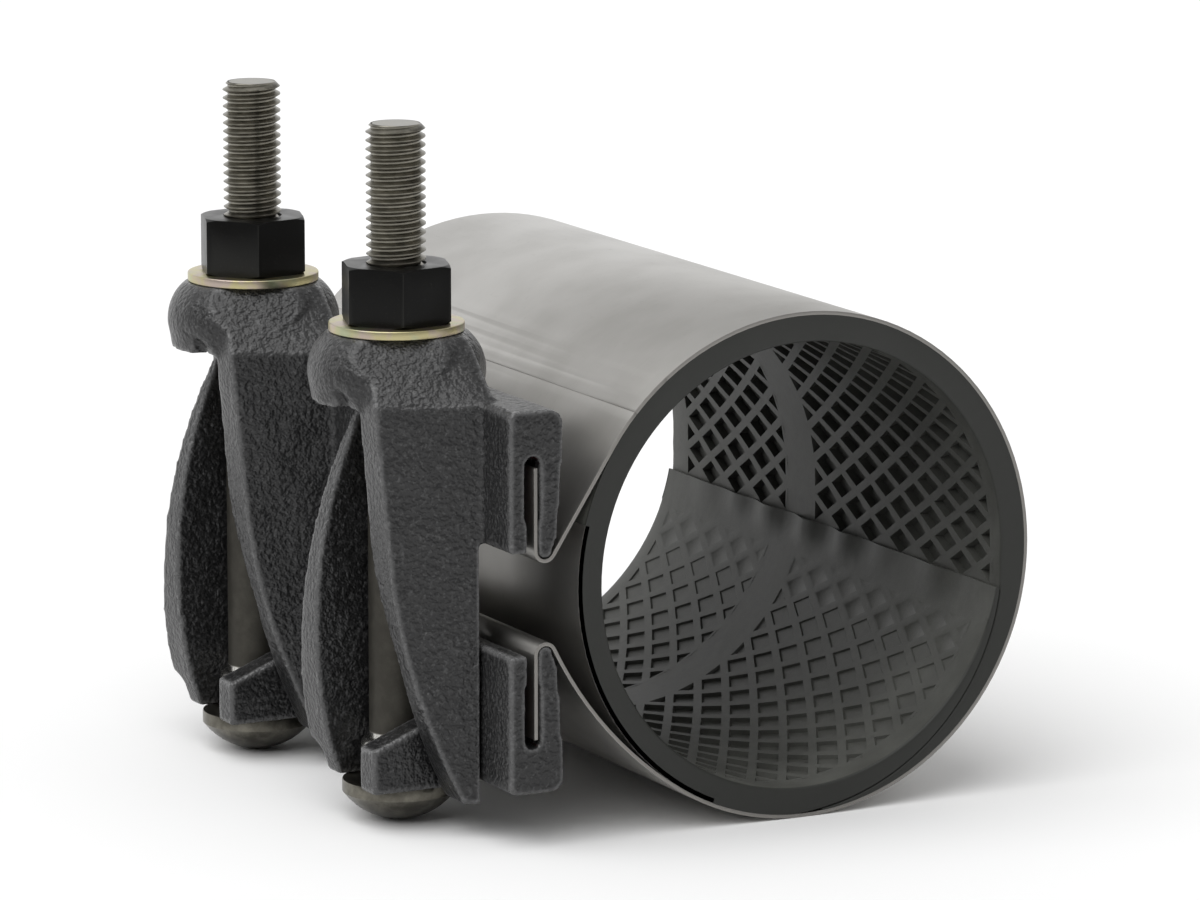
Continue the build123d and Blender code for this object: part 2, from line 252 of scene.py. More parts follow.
# -------------------------------------------------------------------- finishes
@dataclass(frozen=True)
class MillStainless:
    """Rolled stainless sheet, with a faint grain round the band, soft clouds and painted shade on
    its edge faces.
    """

    name: str = "stainless"
    pale: Colour = (0.50, 0.49, 0.47)
    dull: Colour = (0.40, 0.39, 0.37)
    roughness: float = 0.33
    # painted shade: the darker colour of the band's edge faces
    cut: Colour = (0.28, 0.27, 0.255)
    streak: float = 0.35 * MM
    streak_depth: float = 0.006 * MM
    stretch: float = 0.02
    ring_radius: float = 68 * MM
    cloud: float = 26 * MM
    scuff: float = 2.2 * MM
    edge: Span = (94.9 * MM, 95.2 * MM)

    def material(self) -> Material:
        """Makes the sheet's material."""
        bench = Bench(bpy.data.materials.new(self.name))
        x, y, z = bench.axes(bench.place())
        around = z.math("ARCTAN2", x) * self.ring_radius
        drawn_out = bench.vector(around * self.stretch, y, 0.0)
        grain = bench.noise(self.streak, 3.0, at=drawn_out)
        clouds = bench.noise(self.cloud, 3.0)
        scuffs = bench.noise(self.scuff, 4.0, 0.7).step(0.58, 0.75)
        shade = clouds.step(0.3, 0.75) * 0.7 + grain * 0.35 + scuffs * 0.15
        # painted shade: the band's edge faces take the darker cut colour; they are also rougher,
        # as sheared edges are
        sheared_and_shaded = y.math("ABSOLUTE").step(*self.edge)
        rough = self.roughness + clouds * 0.10 + scuffs * 0.08 + sheared_and_shaded * 0.15
        sheet = bench.mix(shade, self.pale, self.dull)
        return bench.set(
            Base_Color=bench.mix(sheared_and_shaded, sheet, self.cut),
            Metallic=1.0,
            Roughness=rough,
            Normal=bench.bump(grain, self.streak_depth),
        )


@dataclass(frozen=True)
class MouldedRubber:
    """Dark moulded rubber with a dusty bloom, a fine skin and painted shade on its end faces."""

    name: str = "rubber"
    dark: Colour = (0.060, 0.061, 0.054)
    bloom: Colour = (0.125, 0.127, 0.115)
    # painted shade: the darker colour of the gasket's end faces
    cut: Colour = (0.020, 0.021, 0.018)
    roughness: float = 0.50
    patch: float = 18 * MM
    speck: float = 0.5 * MM
    speck_depth: float = 0.03 * MM
    ripple: float = 3 * MM
    ripple_depth: float = 0.08 * MM
    end: Span = (94.3 * MM, 95.1 * MM)

    def material(self) -> Material:
        """Makes the gasket's material."""
        bench = Bench(bpy.data.materials.new(self.name))
        patches = bench.noise(self.patch, 4.0, 0.6)
        specks = bench.noise(self.speck, 3.0, 0.7)
        shade = patches.step(0.3, 0.7) * 0.6 + specks * 0.4
        _, y, _ = bench.axes(bench.place())
        moulded = bench.mix(shade, self.dark, self.bloom)
        # painted shade: the end faces are painted darker
        painted_end_shade = y.math("ABSOLUTE").step(*self.end)
        ripples = bench.bump(bench.noise(self.ripple), self.ripple_depth)
        skin = bench.bump(specks, self.speck_depth, ripples)
        return bench.set(
            Base_Color=bench.mix(painted_end_shade, moulded, self.cut),
            Roughness=self.roughness + patches * 0.15 - specks * 0.08,
            Normal=skin,
        )


@dataclass(frozen=True)
class CoatedCasting:
    """Sand-cast iron under a thin dark coat, with red primer left in the pockets, painted
    highlights on its edges and painted glints in its grain.
    """

    name: str = "lug_iron"
    coat: Colour = (0.0095, 0.0095, 0.0100)
    # painted highlight: the paler colour of the edges and the glints, also given a little random
    # tone by the lumps
    lit: Colour = (0.260, 0.260, 0.262)
    primer: Colour = (0.022, 0.0015, 0.0015)
    roughness: float = 0.27
    sand: float = 1.3 * MM
    sand_depth: float = 0.55 * MM
    fine: float = 0.6 * MM
    fine_depth: float = 0.10 * MM
    speck: float = 1.1 * MM
    lump: float = 9 * MM
    lump_depth: float = 0.9 * MM
    # painted highlight: how convex an edge must be to be painted paler
    edge_highlight: Span = (0.503, 0.54)
    pocket_x: Span = (-0.0826, -0.0790)
    pocket_heights: tuple[Span, ...] = ((0.0185, 0.0362), (-0.0405, -0.0235))
    pocket_soft: float = 0.3 * MM
    pocket_end: Span = (0.0944, 0.0950)

    def material(self) -> Material:
        """Makes the lugs' material."""
        bench = Bench(bpy.data.materials.new(self.name))
        x, y, z = bench.axes(bench.place())
        sand = bench.noise(self.sand, 1.2, 0.5)
        fine = bench.noise(self.fine, 1.0, 0.5)
        speck = bench.noise(self.speck, 1.5, 0.6)
        lumps = bench.noise(self.lump, 3.0)
        # painted highlights: convex edges and specks of the grain are painted paler
        edges = bench.pointiness().step(*self.edge_highlight)
        glints = speck.step(0.56, 0.70) * 0.16 + sand.step(0.54, 0.70) * 0.10
        shade = edges * 0.36 + glints + lumps * 0.05
        colour = bench.mix(shade, self.coat, self.lit)
        for heights in self.pocket_heights:
            inside = x.window(*self.pocket_x, self.pocket_soft)
            inside = inside * z.window(*heights, self.pocket_soft)
            deep = 1 - y.math("ABSOLUTE").step(*self.pocket_end)
            colour = bench.mix(inside * deep, colour, self.primer)
        skin = bench.bump(sand, self.sand_depth, bench.bump(lumps, self.lump_depth))
        return bench.set(
            Base_Color=colour,
            Roughness=self.roughness + sand * 0.15 - edges * 0.08,
            Normal=bench.bump(fine, self.fine_depth, skin),
        )


@dataclass(frozen=True)
class OiledSteel:
    """Dark oiled bolt steel, with painted highlights on the crests of the thread, painted shade in
    its roots and bright bare steel at the neck.
    """

    name: str = "bolt_steel"
    dark: Colour = (0.022, 0.020, 0.016)
    # paler steel, for wear in patches and specks and for a painted highlight on the thread's
    # crests
    wear_and_highlight: Colour = (0.30, 0.285, 0.24)
    bare: Colour = (0.62, 0.61, 0.58)
    grime: float = 4 * MM
    speck: float = 0.6 * MM
    speck_depth: float = 0.02 * MM
    # painted highlight: how convex a crest of the thread must be to be painted paler
    crest: Span = (0.50, 0.60)
    # painted shade: below this convexity, in the thread's roots, the steel is painted dark
    root: Span = (0.43, 0.505)
    neck: Span = (-0.0482, -0.0448)
    neck_soft: float = 0.6 * MM
    shank: Span = (-0.0440, 0.0155)
    shank_soft: float = 0.8 * MM

    def material(self) -> Material:
        """Makes the bolts' material."""
        bench = Bench(bpy.data.materials.new(self.name))
        _, _, z = bench.axes(bench.place())
        grime = bench.noise(self.grime, 4.0, 0.65)
        specks = bench.noise(self.speck, 3.0, 0.7)
        point = bench.pointiness()
        # wear in patches and specks, and a painted highlight on the crests
        wear_and_highlight = grime.step(0.35, 0.75) * 0.35 + specks * 0.2 + point.step(*self.crest) * 0.5
        # painted shade: the roots keep the dark colour
        wear_highlight_root_shade = wear_and_highlight * point.step(*self.root)
        bright = z.window(*self.neck, self.neck_soft) * specks.step(0.2, 0.6)
        scale = z.window(*self.shank, self.shank_soft)
        oiled = bench.mix(wear_highlight_root_shade * (1 - 0.8 * scale), self.dark, self.wear_and_highlight)
        return bench.set(
            Base_Color=bench.mix(bright, oiled, self.bare),
            Metallic=1.0 - scale * 0.35,
            Roughness=0.24 + grime * 0.16 + scale * 0.22 - bright * 0.08,
            Normal=bench.bump(specks, self.speck_depth),
        )


@dataclass(frozen=True)
class BlackedNut:
    """A nut under a satin black coat, paler on its corners and in specks."""

    name: str = "nut_black"
    coat: Colour = (0.0035, 0.0035, 0.0032)
    # the paler colour on the corners and in specks
    pale_corner: Colour = (0.026, 0.026, 0.024)
    haze: float = 5 * MM
    haze_depth: float = 0.06 * MM
    speck: float = 0.8 * MM
    speck_depth: float = 0.015 * MM
    corner: Span = (0.52, 0.62)

    def material(self) -> Material:
        """Makes the nuts' material."""
        bench = Bench(bpy.data.materials.new(self.name))
        haze = bench.noise(self.haze, 3.0)
        specks = bench.noise(self.speck, 3.0, 0.7)
        # the corners are paler
        edges = bench.pointiness().step(*self.corner)
        shade = edges * 0.6 + specks.step(0.62, 0.72) * 0.4
        return bench.set(
            Base_Color=bench.mix(shade, self.coat, self.pale_corner),
            Roughness=0.24 + haze * 0.14,
            Specular_IOR_Level=0.15,
            Normal=bench.bump(specks, self.speck_depth, bench.bump(haze, self.haze_depth)),
        )


@dataclass(frozen=True)
class YellowZinc:
    """Zinc plate with a yellow passivate that shifts towards rose and green."""

    name: str = "washer_zinc"
    straw: Colour = (0.50, 0.45, 0.25)
    rose: Colour = (0.47, 0.39, 0.34)
    green: Colour = (0.40, 0.43, 0.28)
    rose_patch: float = 6 * MM
    green_patch: float = 8 * MM
    speck: float = 0.5 * MM
    speck_depth: float = 0.012 * MM

    def material(self) -> Material:
        """Makes the washers' material."""
        bench = Bench(bpy.data.materials.new(self.name))
        rosy = bench.noise(self.rose_patch, 2.0).step(0.45, 0.65)
        specks = bench.noise(self.speck, 3.0, 0.7)
        tint = bench.mix(rosy, self.straw, self.rose)
        greenish = bench.noise(self.green_patch, 2.0).step(0.5, 0.7)
        return bench.set(
            Base_Color=bench.mix(greenish, tint, self.green),
            Metallic=1.0,
            Roughness=0.27 + specks * 0.16,
            Normal=bench.bump(specks, self.speck_depth),
        )


@dataclass(frozen=True)
class PaleFloor:
    """The plain matt floor of the studio."""

    name: str = "floor"
    paint: Colour = (0.94, 0.94, 0.94)
    dim: Colour = (0.36, 0.36, 0.36)

    def material(self) -> Material:
        """Makes the floor's material: pale where it is seen, dimmer as a source of light."""
        bench = Bench(bpy.data.materials.new(self.name))
        ways = ("Is Camera Ray", "Is Glossy Ray", "Is Transmission Ray")
        camera, glossy, through = (bench.node("LightPath", out=way) for way in ways)
        seen = (camera + glossy + through).math("MINIMUM", 1.0)
        return bench.set(
            Base_Color=bench.mix(seen, self.dim, self.paint), Roughness=0.9, Specular_IOR_Level=0.0
        )


# ------------------------------------------------------------------ mesh tools
class Pick(Enum):
    """What a selection is made of."""

    VERTS = "VERT"
    EDGES = "EDGE"
    FACES = "FACE"


def take(piece: Piece) -> None:
    """Selects a piece alone and makes it the active one."""
    bpy.ops.object.select_all(action="DESELECT")
    piece.select_set(True)
    bpy.context.view_layer.objects.active = piece


def place_new(name: str, data: bpy.types.ID) -> Piece:
    """Puts a new object with this data into the scene, and returns it."""
    holder = bpy.data.objects.new(name, data)
    bpy.context.collection.objects.link(holder)
    return holder


@contextmanager
def editing(piece: Piece, kind: Pick = Pick.FACES) -> Iterator[None]:
    """Opens a piece in edit mode with nothing selected, and closes it again.

    Args:
        piece: the mesh object.
        kind: what is selected in it.
    """
    take(piece)
    bpy.ops.object.mode_set(mode="EDIT")
    bpy.ops.mesh.select_mode(type=kind.value)
    bpy.ops.mesh.select_all(action="DESELECT")
    try:
        yield
    finally:
        bpy.ops.object.mode_set(mode="OBJECT")


def middle(item: bmesh.types.BMVert | Edge | Face) -> Vector:
    """The middle of a vertex, an edge or a face."""
    if isinstance(item, bmesh.types.BMVert):
        return item.co
    if isinstance(item, Edge):
        return (item.verts[0].co + item.verts[1].co) / 2
    return item.calc_center_median()


def pick(piece: Piece, kind: Pick, test: Callable[[object], bool]) -> int:
    """Selects, in edit mode, what passes a test and nothing else.

    Args:
        piece: the mesh object, in edit mode.
        kind: what is tested.
        test: called with each vertex, edge or face.

    Returns:
        How many passed.
    """
    bpy.ops.mesh.select_mode(type=kind.value)
    bpy.ops.mesh.select_all(action="DESELECT")
    mesh = bmesh.from_edit_mesh(piece.data)
    items = {Pick.VERTS: mesh.verts, Pick.EDGES: mesh.edges, Pick.FACES: mesh.faces}[kind]
    chosen = [item for item in items if test(item)]
    for item in chosen:
        item.select_set(True)
    mesh.select_flush_mode()
    bmesh.update_edit_mesh(piece.data)
    return len(chosen)


def new_piece(name: str) -> Piece:
    """Names the primitive that was just added, and returns it."""
    piece = bpy.context.active_object
    piece.name = name
    piece.data.name = name
    return piece


def settle(piece: Piece) -> None:
    """Applies a piece's place, turn and scale to its mesh."""
    take(piece)
    bpy.ops.object.transform_apply(location=True, rotation=True, scale=True)


def apply(piece: Piece, kind: str, **settings: object) -> None:
    """Adds a modifier and applies it.

    Args:
        piece: the mesh object.
        kind: the modifier's type.
        settings: its settings, by name.
    """
    modifier = piece.modifiers.new(kind.lower(), kind)
    for key, value in settings.items():
        setattr(modifier, key, value)
    take(piece)
    bpy.ops.object.modifier_apply(modifier=modifier.name)


def ease(piece: Piece, width: float, angle: float, segments: int = 2) -> None:
    """Bevels the edges at which a piece's faces turn by more than an angle in degrees."""
    apply(
        piece, "BEVEL", width=width, segments=segments,
        limit_method="ANGLE", angle_limit=radians(angle),
    )


def everything() -> None:
    """Selects all of the piece in edit mode."""
    bpy.ops.mesh.select_all(action="SELECT")


def move(x: float, y: float, z: float) -> None:
    """Moves what is selected in edit mode."""
    bpy.ops.transform.translate(value=(x, y, z))


def merge() -> None:
    """Merges the doubles of the piece in edit mode, and leaves all of it selected."""
    everything()
    bpy.ops.mesh.remove_doubles(threshold=DOUBLES)


def copy_of(node: Piece, name: str) -> Piece:
    """A copy of a CAD node with its own merged mesh, free of its body."""
    piece = place_new(name, node.data.copy())
    with editing(piece, Pick.VERTS):
        merge()
    return piece


def smooth(piece: Piece, angle: float) -> None:
    """Shades a piece smooth where its faces meet at less than an angle in degrees."""
    take(piece)
    bpy.ops.object.shade_smooth_by_angle(angle=radians(angle))


def cylinder(name: str, radius: float, depth: float, centre: Place, vertices: int) -> Piece:
    """An upright closed cylinder."""
    bpy.ops.mesh.primitive_cylinder_add(
        vertices=vertices, radius=radius, depth=depth, location=centre
    )
    piece = new_piece(name)
    settle(piece)
    return piece


def looks_up(face: Face) -> bool:
    """Whether a face looks upward."""
    return face.normal.z > SQUARE_ON


def join(name: str, pieces: list[Piece]) -> Piece:
    """Joins shells into one piece."""
    bpy.ops.object.select_all(action="DESELECT")
    for piece in pieces:
        piece.select_set(True)
    bpy.context.view_layer.objects.active = pieces[0]
    bpy.ops.object.join()
    return new_piece(name)


def outward(piece: Piece) -> None:
    """Merges a piece's doubles and turns its faces outwards, judged by its volume's sign."""
    with editing(piece):
        merge()
        bpy.ops.mesh.normals_make_consistent(inside=False)
        if bmesh.from_edit_mesh(piece.data).calc_volume(signed=True) < 0:
            bpy.ops.mesh.flip_normals()


def finish_piece(
    piece: Piece, material: Material, body: str, slot: str, *nodes: str
) -> None:
    """Gives a piece its material and body, and hides the CAD nodes that it stands for.

    Args:
        piece: the mesh object.
        material: the one material that it gets.
        body: the body that it rides on, or nothing, which leaves it on no body.
        slot: the record's name for what it is made of; not used.
        nodes: the CAD nodes that it replaces.
    """
    piece.data.materials.clear()
    piece.data.materials.append(material)
    if body:
        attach(piece, body)
    if nodes:
        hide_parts(*nodes)
    triangles = sum(len(face.vertices) - 2 for face in piece.data.polygons)
    LOG.info("%s: %d triangles on %s", piece.name, triangles, body or "two bodies")


# ------------------------------------------------------------- sub-assemblies
@dataclass
class CastLugs:
    """The two cast lugs, with rounded edges and root fillets of sand-cast iron."""

    voxel: float = 0.8 * MM
    passes: int = 2
    swell: float = 0.25 * MM
    swell_size: float = 7 * MM
    slope_middle: Place = (-100.0 * MM, -21.3 * MM, 55.5 * MM)
    slope_facing: Place = (-0.31, -0.746, 0.588)
    slope_size: Place = (56 * MM, 22 * MM, 15 * MM)
    slope_roll: float = 7.0
    bodies: tuple[tuple[str, str], ...] = (("upper_lug", "closing_lug"), ("lower_lug", "clamp"))

    def build(self, nodes: Nodes, finish: CoatedCasting) -> None:
        """Models and dresses both lugs.

        Args:
            nodes: the CAD nodes by name.
            finish: the castings' finish.
        """
        material = finish.material()
        for name, body in self.bodies:
            piece = copy_of(nodes[name], f"{name}_casting")
            if name == "upper_lug":
                self.slope_hoods(piece)
            self.cast(piece)
            finish_piece(piece, material, body, "lug_iron", name)

    def slope_hoods(self, piece: Piece) -> None:
        """Cuts each hood back to a flat slope, in front of and behind its washer."""
        cutters = []
        x, y, z = self.slope_middle
        across, along, up = self.slope_facing
        for place in ("front", "rear"):
            low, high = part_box(f"bolt_{place}")
            axis = (low[1] + high[1]) / 2
            for side in (1, -1):
                facing = Vector((across, side * along, up)).normalized()
                centre = Vector((x, axis + side * y, z)) + facing * self.slope_size[2] / 2
                roll = Quaternion((0, 0, 1), radians(side * self.slope_roll))
                bpy.ops.mesh.primitive_cube_add(
                    size=1, location=centre,
                    rotation=(facing.to_track_quat("Z", "Y") @ roll).to_euler(),
                )
                cutter = new_piece("cutter")
                cutter.scale = self.slope_size
                settle(cutter)
                cutters.append(cutter)
        cutter = join("cutter", cutters)
        apply(piece, "BOOLEAN", operation="DIFFERENCE", object=cutter, solver="EXACT")
        bpy.data.objects.remove(cutter)

    def cast(self, piece: Piece) -> None:
        """Rounds a sharp solid as a casting is."""
        apply(piece, "REMESH", mode="VOXEL", voxel_size=self.voxel)
        apply(piece, "SMOOTH", factor=0.5, iterations=self.passes)
        unevenness = bpy.data.textures.new("sand_mould", "CLOUDS")
        unevenness.noise_scale = self.swell_size
        apply(piece, "DISPLACE", texture=unevenness, strength=self.swell, texture_coords="GLOBAL")
        smooth(piece, angle=60)


@dataclass
class Bolts:
    """Two track bolts with cut threads, a domed head and an oval neck."""

    pitch: float = 25.4 * MM / 11
    crest_radius: float = 7.90 * MM
    root_radius: float = 6.55 * MM
    thread_start: float = 16.0 * MM
    runout: float = 3.2 * MM
    head_rim: float = 3.4 * MM
    head_rings: int = 8
    head_edge: float = 0.5 * MM
    crown_radius: float = 0.6 * MM
    neck_size: Span = (20.4 * MM, 17.4 * MM)
    neck_height: float = 11.3 * MM
    neck_round: float = 1.6 * MM
    off_axis: float = 0.01 * MM
    end_chamfer: float = 1.3 * MM
    steps_per_turn: int = 40
    tooth_foot: float = 0.3 * MM
    tooth_share: Span = (0.97, 1 / 8)

    def build(self, finish: OiledSteel) -> None:
        """Models and dresses both bolts."""
        material = finish.material()
        low, high = (Vector(corner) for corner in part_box("bolt_front"))
        axis = (low + high) / 2
        parts = [
            self.head(axis, low, high),
            self.neck(axis),
            self.shank(axis),
            self.thread(axis, high),
        ]
        front = join("bolt_front_threaded", parts)
        settle(front)
        outward(front)
        smooth(front, angle=35)
        rear = place_new("bolt_rear_threaded", front.data.copy())
        rear.location.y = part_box("bolt_rear")[0][1] - low.y
        settle(rear)
        for piece, place in ((front, "front"), (rear, "rear")):
            finish_piece(piece, material, "clamp", "bolt_steel", f"bolt_{place}")

    def head(self, axis: Vector, low: Vector, high: Vector) -> Piece:
        """The domed round head, from its rim down to the crown."""
        radius = (high.x - low.x) / 2
        dome = self.dome(low)
        seat = low.z + self.head_rim + dome
        place = (axis.x, axis.y, seat - self.head_rim / 2)
        piece = cylinder("head", radius, self.head_rim, place, vertices=72)
        sphere = (radius**2 + dome**2) / (2 * dome)
        shares = [ring / self.head_rings for ring in range(self.head_rings + 1)]
        drops = [dome * (1 - (1 - share) ** 2) for share in shares]
        with editing(piece):
            pick(piece, Pick.FACES, lambda face: face.normal.z < -SQUARE_ON)
            last = radius
            for before, drop in zip(drops, drops[1:]):
                across = (sphere**2 - (sphere - dome + drop) ** 2) ** 0.5
                across = max(across, self.crown_radius)
                fall = (0, 0, before - drop)
                bpy.ops.mesh.extrude_region_move(TRANSFORM_OT_translate={"value": fall})
                bpy.ops.transform.resize(value=(across / last, across / last, 1))
                last = across
        ease(piece, self.head_edge, angle=50)
        return piece

    def dome(self, low: Vector) -> float:
        """The height of the head's dome under its rim."""
        return self.lug_foot() - self.head_rim - low.z

    @staticmethod
    def lug_foot() -> float:
        """The height of the fork's underside, on which the heads bear."""
        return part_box("lower_lug")[0][2]

    def neck(self, axis: Vector) -> Piece:
        """The oval neck that the fork keeps from turning."""
        length, width = self.neck_size
        foot = self.lug_foot()
        place = (axis.x, axis.y, foot + self.neck_height / 2)
        piece = cylinder("neck", width / 2, self.neck_height, place, vertices=48)
        with editing(piece):
            for side in (1, -1):
                pick(piece, Pick.VERTS, lambda vert: (vert.co.x - axis.x) * side > self.off_axis)
                move(side * (length - width) / 2, 0, 0)
            pick(piece, Pick.FACES, looks_up)
            bpy.ops.mesh.bevel(offset=self.neck_round, segments=3, profile=0.5, affect="EDGES")
        return piece

    def shank(self, axis: Vector) -> Piece:
        """The plain shank, which tapers into the thread's root."""
        foot = self.lug_foot()
        depth = self.thread_start - foot
        place = (axis.x, axis.y, foot + depth / 2)
        piece = cylinder("shank", self.crest_radius, depth, place, vertices=64)
        with editing(piece):
            pick(piece, Pick.FACES, looks_up)
            bpy.ops.mesh.extrude_region_move(TRANSFORM_OT_translate={"value": (0, 0, self.runout)})
            ratio = self.root_radius / self.crest_radius
            bpy.ops.transform.resize(value=(ratio, ratio, 1))
        return piece

    def thread(self, axis: Vector, high: Vector) -> Piece:
        """The threaded length: one tooth wound up a core, cut to a chamfered blank.

        Args:
            axis: a point on the bolt's axis.
            high: the top corner of the bolt's box.

        Returns:
            The tooth and the core as one piece.
        """
        bottom = self.thread_start
        turns = int((high.z - bottom) / self.pitch) + 2
        depth = high.z - bottom
        centre = (axis.x, axis.y, bottom + depth / 2)
        tooth = self.tooth(axis, bottom - self.pitch, turns)
        blank = cylinder("blank", self.crest_radius, depth, centre, vertices=96)
        with editing(blank):
            pick(blank, Pick.FACES, looks_up)
            bpy.ops.mesh.bevel(offset=self.end_chamfer, segments=1, affect="EDGES")
        apply(tooth, "BOOLEAN", operation="INTERSECT", object=blank, solver="EXACT")
        bpy.data.objects.remove(blank)
        core = cylinder("core", self.root_radius, depth, centre, vertices=48)
        return join("thread", [tooth, core])

    def tooth(self, axis: Vector, start: float, turns: int) -> Piece:
        """One long tooth of trapezoid section, wound round the bolt's axis."""
        buried = self.root_radius - self.tooth_foot
        height = self.crest_radius - buried
        root_width, crest_width = (self.pitch * share for share in self.tooth_share)
        bpy.ops.mesh.primitive_plane_add(size=1, rotation=(pi / 2, 0, 0))
        piece = new_piece("tooth")
        piece.scale = (height, root_width, 1)
        settle(piece)
        with editing(piece, Pick.VERTS):
            everything()
            move(buried + height / 2, 0, 0)
            pick(piece, Pick.VERTS, lambda vert: vert.co.x > buried + height / 2)
            bpy.ops.transform.resize(value=(1, 1, crest_width / root_width))
        piece.location = (axis.x, axis.y, start)
        apply(
            piece, "SCREW", screw_offset=self.pitch, iterations=turns,
            steps=self.steps_per_turn, render_steps=self.steps_per_turn, use_merge_vertices=False,
        )
        settle(piece)
        with editing(piece, Pick.EDGES):
            merge()
            pick(piece, Pick.EDGES, lambda edge: edge.is_boundary)
            bpy.ops.mesh.fill()
            everything()
            bpy.ops.mesh.normals_make_consistent(inside=False)
        return piece


@dataclass
class NutsAndWashers:
    """Heavy hexagon nuts and flat washers, with their edges broken."""

    nut_edge: float = 0.45 * MM
    washer_edge: float = 0.35 * MM

    def build(self, nodes: Nodes, coat: BlackedNut, plate: YellowZinc) -> None:
        """Models and dresses the nuts and the washers.

        Args:
            nodes: the CAD nodes by name.
            coat: the nuts' finish.
            plate: the washers' finish.
        """
        black, zinc = coat.material(), plate.material()
        for place in ("front", "rear"):
            nut = self.eased(nodes[f"nut_{place}"], f"nut_{place}_eased", self.nut_edge)
            finish_piece(nut, black, f"{place}_nut", "nut_black", f"nut_{place}")
            name = f"washer_{place}"
            washer = self.eased(nodes[name], f"{name}_eased", self.washer_edge)
            finish_piece(washer, zinc, "closing_lug", "washer_zinc", name)

    def eased(self, node: Piece, name: str, width: float) -> Piece:
        """A copy of a turned piece whose sharp edges are broken."""
        piece = copy_of(node, name)
        with editing(piece):
            everything()
            bpy.ops.mesh.dissolve_limited(angle_limit=radians(0.5))
        ease(piece, width, angle=24, segments=3)
        smooth(piece, angle=30)
        return piece


@dataclass
class SteelBand:
    """The one-piece stainless band, whose upper end is split off as a piece of its own."""

    part_angle: float = 138.0
    edge: float = 0.12 * MM
    joint_height: float = -2.5 * MM
    ring_radius: float = 68.4 * MM
    slices: int = 20
    slice_step: float = 2.0 * MM
    sliced_x: Span = (-78.5 * MM, -40 * MM)
    upper_end_x: float = -45 * MM
    lip_height: float = 10.5 * MM
    lip_inset: float = 4 * MM

    def build(self, nodes: Nodes, finish: MillStainless) -> None:
        """Models and dresses the band and the bridge plate.

        Args:
            nodes: the CAD nodes by name.
            finish: the sheet's finish.
        """
        material = finish.material()
        whole = copy_of(nodes["band"], "band_ring")
        self.slice_run(whole)
        with editing(whole):
            count = pick(whole, Pick.FACES, self.on_upper_end)
            LOG.info("band faces on the upper end: %d", count)
            bpy.ops.mesh.separate(type="SELECTED")
        upper = next(piece for piece in bpy.context.selected_objects if piece is not whole)
        upper.name = "band_upper_end"
        upper.data.name = upper.name
        for piece in (whole, upper):
            with editing(piece, Pick.EDGES):
                pick(piece, Pick.EDGES, lambda edge: edge.is_boundary)
                bpy.ops.mesh.fill()
            ease(piece, self.edge, angle=60)
            smooth(piece, angle=40)
        finish_piece(whole, material, "clamp", "stainless", "band")
        finish_piece(upper, material, "", "stainless")
        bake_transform(upper)
        plate = nodes["bridge_plate"]
        plate.data.materials.clear()
        plate.data.materials.append(material)

    def parting(self) -> Vector:
        """Direction from the pipe axis to where the upper end parts from the ring."""
        return Vector((cos(radians(self.part_angle)), 0, sin(radians(self.part_angle))))

    def on_upper_end(self, face: Face) -> bool:
        """Whether a face of the band lies past the parting, towards the upper lug."""
        point = face.calc_center_median()
        past = degrees(atan2(point.z, point.x)) % 360 > self.part_angle
        return past and point.z > self.joint_height and point.x < self.upper_end_x

    def slice_run(self, piece: Piece) -> None:
        """Cuts the upper end into short lengths."""
        across = self.parting().cross(Vector((0, 1, 0)))
        with editing(piece):
            for cut in range(self.slices):
                pick(piece, Pick.FACES, self.near_upper_end)
                place = self.parting() * self.ring_radius - across * (cut * self.slice_step)
                bpy.ops.mesh.bisect(plane_co=place, plane_no=across)

    def near_upper_end(self, face: Face) -> bool:
        """Whether a face lies on the upper left of the band, out to the fold."""
        point = face.calc_center_median()
        return self.sliced_x[0] < point.x < self.sliced_x[1] and point.z > self.joint_height


